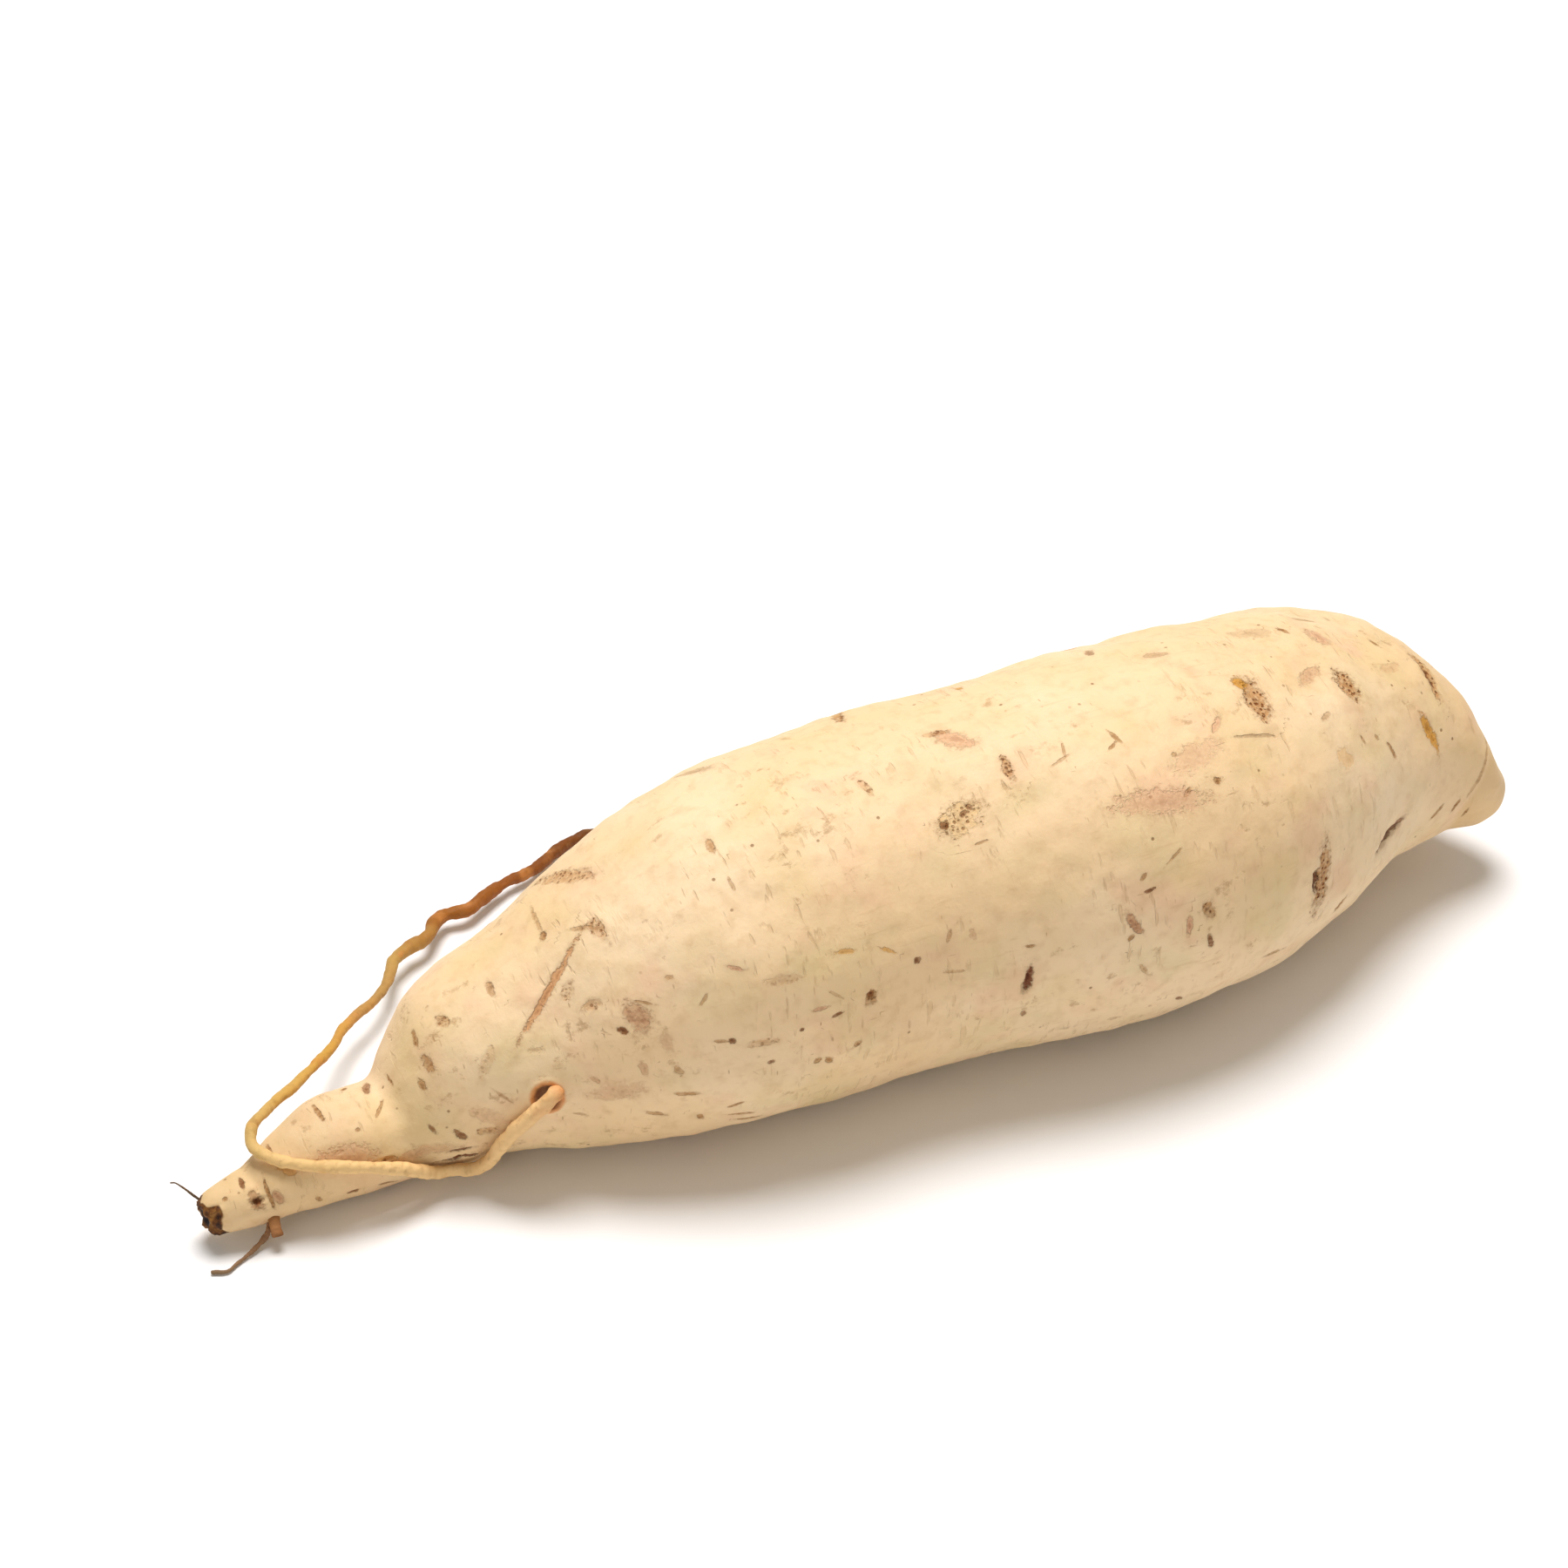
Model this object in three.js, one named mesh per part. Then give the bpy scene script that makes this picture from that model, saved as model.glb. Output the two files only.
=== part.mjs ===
// A white-skinned sweet potato: a long storage root with a narrow neck, lying on the flat of its belly, and
// the thin roots that still grow from it. Millimetres. X runs along the tuber from the broken end of the
// neck to the blunt nose, Z is up, and the origin is the middle of the flat that the tuber rests on.
import * as THREE from "three";

// ---- driving dimensions ------------------------------------------------------------------------------
const LENGTH = 230.5; // the whole tuber, from the broken end of the neck to the nose
const NECK_END = -116.2; // where the tuber begins along X
const WIDTH = 60; // across the thickest part of the tuber
const HEIGHT = 58; // of the thickest part, before its belly settled
const SETTLE = 0.55; // how much of the belly is lost to the flat that bears on the table
const ROUNDNESS = 2.12; // superellipse exponent of a cross-section: 2 is an ellipse, more is squarer

// Diameters of the thin roots where they leave the tuber.
const SIDE_ROOT_GIRTH = 2.1;
const ROOTLET_GIRTH = 0.8;
const STUB_GIRTH = 1.7;
const HAIR_GIRTH = 0.4;

// How finely the skins are divided: the most that two rings are apart, and the sides of a ring.
const TUBER_MESH = { step: 3.4, sides: 42 };
const SIDE_ROOT_MESH = { step: 3, sides: 10 };
const ROOTLET_MESH = { step: 1.1, sides: 8 };
const STUB_MESH = { step: 0.35, sides: 8 };
const HAIR_MESH = { step: 0.5, sides: 8 };
const DIVISIONS_PER_POINT = 40; // of a root's path, when its length is measured

// Stations along the tuber in percent: of LENGTH along X, then of WIDTH for how far the middle lies
// sideways and for the width, then of HEIGHT for the underside and the top. The neck swells into the body
// in one sharp step, from 14 to 17 percent, and the nose is a small beak on the body's shoulder.
const STATIONS = [
  [0.0, 3.5, 0.0, 11.0, 11.0],
  [0.2, 3.5, 7.5, 7.4, 15.0],
  [0.9, 3.5, 11.5, 4.4, 16.8],
  [2.4, 3.5, 14.6, 3.0, 18.6],
  [4.0, 3.6, 17.2, 3.2, 20.2],
  [6.0, 4.3, 20.0, 3.2, 24.0],
  [8.0, 5.0, 24.2, 2.8, 28.8],
  [10.0, 5.4, 27.2, 2.2, 30.4],
  [12.5, 5.6, 27.4, 2.0, 29.4],
  [14.0, 6.2, 27.6, 1.8, 30.2],
  [15.5, 8.0, 32.0, 1.4, 39.5],
  [17.0, 9.2, 38.5, 1.2, 47.5],
  [20.0, 8.8, 49.0, 1.2, 54.5],
  [24.0, 6.8, 58.5, 1.2, 62.5],
  [28.0, 4.2, 70.5, 1.0, 73.5],
  [33.5, 1.8, 84.0, 0.4, 86.0],
  [41.0, 1.0, 93.0, 0.0, 94.5],
  [48.5, 0.6, 95.5, 0.0, 97.0],
  [55.5, -3.0, 97.0, 0.0, 97.5],
  [62.0, -7.0, 99.5, 0.0, 99.5],
  [68.5, -7.0, 100.0, 0.0, 99.5],
  [74.5, -4.9, 99.0, 0.0, 97.5],
  [79.5, -1.8, 93.5, 0.4, 93.0],
  [84.0, 1.8, 86.5, 1.6, 89.0],
  [88.0, 4.6, 76.0, 5.0, 83.6],
  [91.5, 5.2, 66.5, 8.8, 78.6],
  [94.3, 3.0, 56.5, 11.6, 71.4],
  [96.4, -2.0, 46.5, 12.4, 59.8],
  [97.8, -7.8, 34.5, 14.4, 48.0],
  [98.8, -11.2, 24.5, 17.6, 39.4],
  [99.5, -13.2, 14.5, 21.6, 34.0],
  [99.9, -14.2, 7.0, 24.4, 30.4],
  [100.0, -14.4, 0.0, 27.2, 27.2],
];

// Centre line of the side root: out of the front of the body just past the neck, down and back along the
// front of the neck, over the neck near its tip, then wandering over the table behind the tuber.
const SIDE_ROOT_PATH = [
  [-63.4, -14.0, 21.6],
  [-66.3, -12.6, 18.1],
  [-69.1, -11.4, 14.6],
  [-71.0, -10.2, 11.1],
  [-72.5, -8.4, 7.2],
  [-74.6, -6.6, 5.0],
  [-77.3, -6.1, 5.7],
  [-80.0, -5.6, 5.9],
  [-83.0, -6.1, 7.8],
  [-86.4, -6.3, 10.1],
  [-89.9, -6.2, 11.6],
  [-93.8, -5.7, 13.0],
  [-97.5, -4.6, 13.8],
  [-101.0, -2.6, 14.2],
  [-103.4, -0.4, 14.3],
  [-104.9, 2.0, 14.3],
  [-105.4, 4.9, 14.4],
  [-103.8, 8.2, 14.3],
  [-100.9, 11.0, 13.5],
  [-97.6, 14.2, 12.2],
  [-94.2, 17.0, 11.0],
  [-91.0, 20.0, 10.0],
  [-87.5, 23.0, 9.0],
  [-84.4, 26.0, 8.0],
  [-80.9, 30.3, 7.0],
  [-77.1, 33.5, 6.2],
  [-73.6, 35.9, 5.6],
  [-70.4, 38.8, 5.2],
  [-68.0, 42.0, 5.0],
  [-66.1, 45.0, 4.6],
  [-62.4, 47.3, 4.1],
  [-58.9, 48.7, 3.9],
  [-56.2, 51.8, 3.5],
  [-53.4, 53.5, 3.1],
  [-49.7, 53.2, 3.0],
  [-45.5, 55.4, 2.8],
  [-40.6, 57.4, 2.5],
  [-35.4, 58.7, 2.1],
  [-30.8, 61.3, 1.9],
  [-26.8, 63.2, 1.7],
  [-22.0, 64.2, 1.5],
  [-17.0, 63.0, 1.4],
  [-12.4, 63.6, 1.2],
  [-7.6, 66.0, 1.1],
  [-2.6, 66.4, 1.0],
  [2.0, 64.6, 0.9],
  [6.8, 64.4, 0.8],
  [11.0, 66.2, 0.7],
];

// A dry rootlet that trails from under the neck onto the table.
const ROOTLET_PATH = [
  [-106.2, -2.7, 2.9],
  [-107.3, -2.9, 1.7],
  [-109.2, -3.6, 0.9],
  [-110.8, -4.2, 0.6],
  [-112.5, -4.9, 0.5],
  [-114.3, -5.7, 0.5],
  [-116.6, -4.8, 0.5],
];
// What is left of a thicker rootlet beside it.
const STUB_PATH = [
  [-105.5, -3.2, 4.1],
  [-105.5, -3.8, 3.5],
  [-105.6, -4.5, 2.7],
];
// A wiry hair on the upper rim of the broken end.
const HAIR_PATH = [
  [-115.6, 3.5, 9.1],
  [-116.2, 4.2, 9.6],
  [-116.8, 5.0, 10.0],
  [-117.4, 5.8, 10.3],
  [-118.1, 6.2, 10.3],
];

// Thickness of the thin roots: [percent of the way along, percent of the girth].
const FLARED = [[0, 130], [3, 112], [8, 100], [40, 84], [75, 70], [93, 52], [100, 30]];
const TAPERED = [[0, 100], [60, 80], [100, 60]];
const EVEN = [[0, 110], [100, 100]];

// ---- shapes ------------------------------------------------------------------------------------------
// Smooth values between rows: a row is its place followed by the values there.
function smoothly(rows) {
  const places = rows.map((row) => row[0]);
  const values = rows.flatMap((row) => row.slice(1));
  const curve = new THREE.CubicInterpolant(places, values, rows[0].length - 1);
  return (place) => Array.from(curve.evaluate(place));
}

// A closed skin of rings: a lathe, whose rings are then set one by one. place(point, ring, turn) puts a
// point of a ring where it belongs, and a ring of no radius closes the skin at each end.
function ringed(rings, sides, radius, place) {
  const profile = [];
  for (let ring = 0; ring <= rings; ring++) {
    profile.push(new THREE.Vector2(radius(ring), ring));
  }
  const geometry = new THREE.LatheGeometry(profile, sides);
  const position = geometry.getAttribute("position");
  const point = new THREE.Vector3();
  for (let i = 0; i < position.count; i++) {
    const ring = i % profile.length;
    const side = Math.floor(i / profile.length) % sides;
    place(point, ring, (2 * Math.PI * side) / sides);
    position.setXYZ(i, point.x, point.y, point.z);
  }
  geometry.computeVertexNormals();
  return geometry;
}

// Places of the tuber's rings along X in percent: each gap between stations in equal steps.
function tuberPlaces() {
  const places = [STATIONS[0][0]];
  for (let i = 1; i < STATIONS.length; i++) {
    const from = STATIONS[i - 1][0];
    const gap = STATIONS[i][0] - from;
    const steps = Math.ceil((gap * LENGTH) / 100 / TUBER_MESH.step);
    for (let step = 1; step <= steps; step++) {
      places.push(from + (gap * step) / steps);
    }
  }
  return places;
}

// One side of a superellipse, for a cosine or sine of the turn.
function squared(part) {
  return Math.sign(part) * Math.abs(part) ** (2 / ROUNDNESS);
}

function tuberGeometry() {
  const places = tuberPlaces();
  const last = places.length - 1;
  const shapeAt = smoothly(STATIONS);
  const sections = places.map((percent) => {
    const [sideways, width, underside, top] = shapeAt(percent);
    return {
      x: NECK_END + (percent * LENGTH) / 100,
      y: (sideways * WIDTH) / 100,
      z: ((underside + top) / 200) * HEIGHT,
      halfWidth: (width * WIDTH) / 200,
      halfHeight: ((top - underside) / 200) * HEIGHT,
    };
  });
  const closes = (ring) => ring === 0 || ring === last;
  const radius = (ring) => (closes(ring) ? 0 : sections[ring].halfWidth);
  return ringed(last, TUBER_MESH.sides, radius, (point, ring, turn) => {
    const section = sections[ring];
    const reach = closes(ring) ? 0 : 1;
    const y = section.y + reach * section.halfWidth * squared(Math.cos(turn));
    const z = section.z + reach * section.halfHeight * squared(Math.sin(turn));
    point.set(section.x, y, Math.max(z - SETTLE, 0));
  });
}

// A thin root along a path, whose thickness rows are [percent of the path, percent of the girth].
function rootGeometry(path, mesh, girth, thickness) {
  const curve = new THREE.CatmullRomCurve3(path.map((at) => new THREE.Vector3(...at)));
  curve.arcLengthDivisions = DIVISIONS_PER_POINT * path.length;
  const rings = Math.ceil(curve.getLength() / mesh.step);
  const frames = curve.computeFrenetFrames(rings);
  const centres = curve.getSpacedPoints(rings);
  const thicknessAt = smoothly(thickness);
  const radius = (ring) => {
    const [percent] = thicknessAt((100 * ring) / rings);
    return ring === 0 || ring === rings ? 0 : (girth / 2) * (percent / 100);
  };
  return ringed(rings, mesh.sides, radius, (point, ring, turn) => {
    point
      .copy(centres[ring])
      .addScaledVector(frames.normals[ring], radius(ring) * Math.cos(turn))
      .addScaledVector(frames.binormals[ring], radius(ring) * Math.sin(turn));
  });
}

// ---- the sweet potato --------------------------------------------------------------------------------
const dull = { roughness: 0.55, metalness: 0 };
const creamSkin = new THREE.MeshStandardMaterial({ ...dull, color: 0xe8cfa2 });
const ochreRoot = new THREE.MeshStandardMaterial({ ...dull, color: 0xd6a862 });
const dryRoot = new THREE.MeshStandardMaterial({ ...dull, color: 0x9a7654 });
const brokenRoot = new THREE.MeshStandardMaterial({ ...dull, color: 0xb28a5e });
const darkHair = new THREE.MeshStandardMaterial({ ...dull, color: 0x5c4636 });

const group = new THREE.Group();
function grow(name, geometry, material) {
  const mesh = new THREE.Mesh(geometry, material);
  mesh.name = name;
  group.add(mesh);
}

grow("tuber", tuberGeometry(), creamSkin);
grow("side_root", rootGeometry(SIDE_ROOT_PATH, SIDE_ROOT_MESH, SIDE_ROOT_GIRTH, FLARED), ochreRoot);
grow("rootlet", rootGeometry(ROOTLET_PATH, ROOTLET_MESH, ROOTLET_GIRTH, TAPERED), dryRoot);
grow("root_stub", rootGeometry(STUB_PATH, STUB_MESH, STUB_GIRTH, EVEN), brokenRoot);
grow("neck_hair", rootGeometry(HAIR_PATH, HAIR_MESH, HAIR_GIRTH, TAPERED), darkHair);

export default group;
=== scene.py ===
import math

import bpy
import numpy as np
from mathutils import Matrix, Vector
from mathutils.bvhtree import BVHTree


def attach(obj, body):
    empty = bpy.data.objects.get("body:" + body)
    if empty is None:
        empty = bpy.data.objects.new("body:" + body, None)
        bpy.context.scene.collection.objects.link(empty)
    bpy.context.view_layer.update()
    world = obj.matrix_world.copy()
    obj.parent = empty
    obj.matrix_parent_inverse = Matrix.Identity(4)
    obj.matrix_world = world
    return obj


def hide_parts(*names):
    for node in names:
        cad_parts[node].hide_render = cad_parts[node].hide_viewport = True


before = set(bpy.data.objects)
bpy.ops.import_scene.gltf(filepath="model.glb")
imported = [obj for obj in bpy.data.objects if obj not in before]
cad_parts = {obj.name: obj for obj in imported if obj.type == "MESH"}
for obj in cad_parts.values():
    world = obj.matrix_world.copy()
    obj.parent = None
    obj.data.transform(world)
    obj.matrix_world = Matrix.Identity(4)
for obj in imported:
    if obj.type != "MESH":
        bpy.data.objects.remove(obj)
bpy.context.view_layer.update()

MM = 0.001
TURN = 2 * math.pi

# ---- camera ---------------------------------------------------------------------------------------------
CAMERA_AZIMUTH = math.radians(-27)
CAMERA_HEIGHT = math.radians(38)
CAMERA_PLACE = Vector((-218.5, -394.7, 401.3)) * MM
CAMERA_LENS = 85


def set_camera():
    camera = bpy.data.objects.new("camera", bpy.data.cameras.new("camera"))
    camera.data.lens = CAMERA_LENS
    right = Vector((math.cos(CAMERA_AZIMUTH), math.sin(CAMERA_AZIMUTH), 0))
    back = Vector((
        math.sin(CAMERA_AZIMUTH) * math.cos(CAMERA_HEIGHT),
        -math.cos(CAMERA_AZIMUTH) * math.cos(CAMERA_HEIGHT),
        math.sin(CAMERA_HEIGHT),
    ))
    up = back.cross(right)
    turn = Matrix((right, up, back)).transposed()
    camera.matrix_world = Matrix.Translation(CAMERA_PLACE) @ turn.to_4x4()
    bpy.context.scene.collection.objects.link(camera)
    bpy.context.scene.camera = camera


set_camera()


# ---- shader writing ---------------------------------------------------------------------------------------
class Value:
    """A number that varies over a surface; arithmetic on it adds Math nodes."""

    def __init__(self, finish, socket):
        self.finish = finish
        self.socket = socket

    def maths(self, operation, *inputs):
        node = self.finish.node("ShaderNodeMath", {"operation": operation}, dict(enumerate(inputs)))
        return Value(self.finish, node.outputs[0])

    def __add__(self, other):
        return self.maths("ADD", self, other)

    def __radd__(self, other):
        return self.maths("ADD", other, self)

    def __sub__(self, other):
        return self.maths("SUBTRACT", self, other)

    def __rsub__(self, other):
        return self.maths("SUBTRACT", other, self)

    def __mul__(self, other):
        return self.maths("MULTIPLY", self, other)

    def __rmul__(self, other):
        return self.maths("MULTIPLY", other, self)

    def __pow__(self, other):
        return self.maths("POWER", self, other)

    def least(self, other):
        return self.maths("MINIMUM", self, other)

    def most(self, other):
        return self.maths("MAXIMUM", self, other)

    def sine(self):
        return self.maths("SINE", self)

    def step(self, low, high):
        """0 at low and 1 at high, eased between them; low may be the larger."""
        sockets = {"Value": self, "From Min": low, "From Max": high}
        node = self.finish.node("ShaderNodeMapRange", {"interpolation_type": "SMOOTHSTEP"}, sockets)
        return Value(self.finish, node.outputs[0])


class Finish:
    """A procedural material, and what its nodes are made with."""

    def __init__(self, name):
        self.material = bpy.data.materials.new(name)
        self.material.use_nodes = True
        self.tree = self.material.node_tree
        self.shader = self.tree.nodes["Principled BSDF"]
        place = self.node("ShaderNodeTexCoord", {}, {})
        self.place = place.outputs["Object"]

    def node(self, kind, settings, sockets):
        node = self.tree.nodes.new(kind)
        for key, value in settings.items():
            if key == "stops":
                self.set_stops(node.color_ramp, value)
            else:
                setattr(node, key, value)
        for key, value in sockets.items():
            self.feed(node.inputs[key], value)
        return node

    def set_stops(self, ramp, stops):
        while len(ramp.elements) > 1:
            ramp.elements.remove(ramp.elements[-1])
        for index, (position, colour) in enumerate(stops):
            stop = ramp.elements[0] if index == 0 else ramp.elements.new(position)
            stop.position = position
            stop.color = (*colour, 1)

    def feed(self, socket, value):
        source = value.socket if isinstance(value, Value) else value
        if isinstance(source, bpy.types.NodeSocket):
            self.tree.links.new(source, socket)
        elif socket.type == "RGBA" and len(source) == 3:
            socket.default_value = (*source, 1)
        else:
            socket.default_value = source

    def noise(self, size_mm, detail=2.0, stretch=(1, 1, 1), rough=0.5, warp=0.0):
        """Cloudy noise whose blotches are about size_mm across, and longer along stretch."""
        scaled = self.node(
            "ShaderNodeVectorMath",
            {"operation": "MULTIPLY"},
            {0: self.place, 1: tuple(1 / part for part in stretch)},
        )
        sockets = {"Vector": scaled.outputs[0], "Scale": 1 / (size_mm * MM), "Detail": detail,
                   "Roughness": rough, "Distortion": warp}
        return Value(self, self.node("ShaderNodeTexNoise", {}, sockets).outputs["Fac"])

    def cells(self, size_mm, stretch=(1, 1, 1)):
        """Distance from the nearest of many scattered points, in cells."""
        scaled = self.node(
            "ShaderNodeVectorMath",
            {"operation": "MULTIPLY"},
            {0: self.place, 1: tuple(1 / part for part in stretch)},
        )
        sockets = {"Vector": scaled.outputs[0], "Scale": 1 / (size_mm * MM)}
        return Value(self, self.node("ShaderNodeTexVoronoi", {}, sockets).outputs["Distance"])

    def attribute(self, name):
        return self.node("ShaderNodeAttribute", {"attribute_name": name}, {})

    def parts(self, vector):
        node = self.node("ShaderNodeSeparateXYZ", {}, {0: vector})
        return [Value(self, output) for output in node.outputs]

    def length(self, x, y):
        flat = self.node("ShaderNodeCombineXYZ", {}, {0: x, 1: y})
        node = self.node("ShaderNodeVectorMath", {"operation": "LENGTH"}, {0: flat.outputs[0]})
        return Value(self, node.outputs["Value"])

    def mix(self, share, low, high, blend="MIX"):
        settings = {"data_type": "RGBA", "blend_type": blend}
        node = self.node("ShaderNodeMix", settings, {0: share, 6: low, 7: high})
        return node.outputs[2]

    def ramp(self, value, stops):
        return self.node("ShaderNodeValToRGB", {"stops": stops}, {0: value}).outputs[0]

    def bump(self, height, depth_mm, normal=None):
        sockets = {"Height": height, "Strength": 1.0, "Distance": depth_mm * MM}
        if normal is not None:
            sockets["Normal"] = normal
        return self.node("ShaderNodeBump", {}, sockets).outputs[0]

    def shade(self, **sockets):
        for name, value in sockets.items():
            self.feed(self.shader.inputs[name.replace("_", " ")], value)


# ---- mesh helpers -----------------------------------------------------------------------------------------
def ripple(points, wavelength, seed, stretch=(1, 1, 1), waves=28):
    """Smooth seeded unevenness in about -1..1 at each point, from waves in many directions."""
    rng = np.random.default_rng(seed)
    total = np.zeros(points.shape[:-1])
    for _ in range(waves):
        way = rng.normal(size=3)
        way *= TURN / (wavelength * rng.uniform(0.7, 1.5) * np.linalg.norm(way))
        total += np.sin((points / np.array(stretch)) @ way + rng.uniform(0, TURN))
    return total / math.sqrt(waves)


def eased(value, low, high):
    share = np.clip((value - low) / (high - low), 0, 1)
    return share * share * (3 - 2 * share)


def ringed_mesh(name, rings, start, end):
    """A closed mesh from a grid of points, rings by sides, with a point at each end. Millimetres."""
    count, sides = rings.shape[:2]
    points = np.concatenate([rings.reshape(-1, 3), [start, end]]) * MM
    faces = []
    for ring in range(count - 1):
        for side in range(sides):
            after = (side + 1) % sides
            low, high = ring * sides, (ring + 1) * sides
            faces.append((low + side, low + after, high + after, high + side))
    first, last = count * sides, count * sides + 1
    top = (count - 1) * sides
    for side in range(sides):
        after = (side + 1) % sides
        faces.append((first, after, side))
        faces.append((last, top + side, top + after))
    mesh = bpy.data.meshes.new(name)
    mesh.from_pydata(points.tolist(), [], faces)
    mesh.polygons.foreach_set("use_smooth", [True] * len(mesh.polygons))
    mesh.update()
    piece = bpy.data.objects.new(name, mesh)
    bpy.context.scene.collection.objects.link(piece)
    return piece


def store(piece, name, kind, values):
    """Values by ring and side as a named attribute; each end point takes its ring's mean."""
    width = values.shape[-1]
    flat = np.concatenate([values.reshape(-1, width), [values[0].mean(0), values[-1].mean(0)]])
    field = "vector" if kind == "FLOAT_VECTOR" else "color"
    layer = piece.data.attributes.new(name, kind, "POINT")
    layer.data.foreach_set(field, flat.astype(np.float32).ravel())


def normals_of(rings):
    """Outward unit normals of a grid of rings, from its neighbours each way."""
    along = np.gradient(rings, axis=0)
    around = np.roll(rings, -1, axis=1) - np.roll(rings, 1, axis=1)
    normal = np.cross(around, along)
    return normal / np.maximum(np.linalg.norm(normal, axis=-1, keepdims=True), 1e-9)


# ---- the tuber's skin -------------------------------------------------------------------------------------
ROWS = 396
SIDES = 236
SMOOTHING = 2.2  # rows and sides over which the facets of the solid are evened out


def solid_sections(node):
    """Middle and mean half width of the solid's rings: arrays of x, y, z and radius in millimetres."""
    points = np.array([v.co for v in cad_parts[node].data.vertices]) / MM
    places = np.unique(np.round(points[:, 0], 2))
    sections = []
    for place in places:
        ring = points[np.abs(points[:, 0] - place) < 0.02]
        low, high = ring.min(0), ring.max(0)
        sections.append((place, *(low + high)[1:] / 2, (high - low)[1:].mean() / 2))
    return np.array(sections).T


def even_rows(x, radius):
    """Places along X that part the profile of the solid into equal lengths, ends left out."""
    steps = np.hypot(np.diff(x), np.diff(radius))
    walked = np.concatenate([[0], np.cumsum(steps)])
    return np.interp(np.linspace(0, walked[-1], ROWS + 2)[1:-1], walked, x)


def evened(rings):
    """The grid blurred along and around; past each end it goes on down the far side."""
    reach = int(3 * SMOOTHING)
    weights = np.exp(-0.5 * (np.arange(-reach, reach + 1) / SMOOTHING) ** 2)
    weights /= weights.sum()
    far = np.roll(rings, SIDES // 2, axis=1)
    padded = np.concatenate([far[reach - 1 :: -1], rings, far[: -reach - 1 : -1]])
    along = sum(w * padded[k : k + len(rings)] for k, w in enumerate(weights))
    return sum(w * np.roll(along, k - reach, axis=1) for k, w in enumerate(weights))


def wrapped_rings():
    """The fine grid laid on the tuber's solid: points, and each row's place along X."""
    x, y, z, radius = solid_sections("tuber")
    rows = even_rows(x, radius)
    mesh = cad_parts["tuber"].data
    corners = [v.co.copy() for v in mesh.vertices]
    tree = BVHTree.FromPolygons(corners, [p.vertices[:] for p in mesh.polygons])
    turns = np.arange(SIDES) * TURN / SIDES
    ways = [Vector((0, math.cos(turn), math.sin(turn))) for turn in turns]
    rings = np.zeros((ROWS, SIDES, 3))
    for row, place in enumerate(rows):
        centre = Vector((place, np.interp(place, x, y), np.interp(place, x, z))) * MM
        for side, way in enumerate(ways):
            rings[row, side] = tree.ray_cast(centre, way)[0]
    return evened(rings / MM), rows, turns


rings, rows, turns = wrapped_rings()


class Skin:
    """The tuber's grid while it is worked on."""

    def __init__(self):
        self.points = rings.copy()
        self.degrees = np.degrees(turns)
        self.refresh()

    def refresh(self):
        self.normals = normals_of(self.points)

    def push(self, height):
        """Moves each point out along its normal by height millimetres."""
        self.points += self.normals * height[..., None]
        self.refresh()

    def spot(self, x, turn):
        """Place, direction along and direction around at a spot of the skin."""
        row = int(np.abs(rows - x).argmin())
        side = int(np.abs((self.degrees - turn + 180) % 360 - 180).argmin())
        place, normal = self.points[row, side], self.normals[row, side]
        along = np.array([1.0, 0, 0]) - normal * normal[0]
        along /= np.linalg.norm(along)
        return place, along, np.cross([1.0, 0, 0], normal), normal

    def local(self, x, turn, lean):
        """How far each point lies from a spot: along a line that leans from X, across it, and off it."""
        place, along, around, normal = self.spot(x, turn)
        around = around / np.linalg.norm(around)
        lean = math.radians(lean)
        away = self.points - place
        line = math.cos(lean) * along + math.sin(lean) * around
        return away @ line, away @ np.cross(normal, line), away @ normal


skin = Skin()

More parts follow.
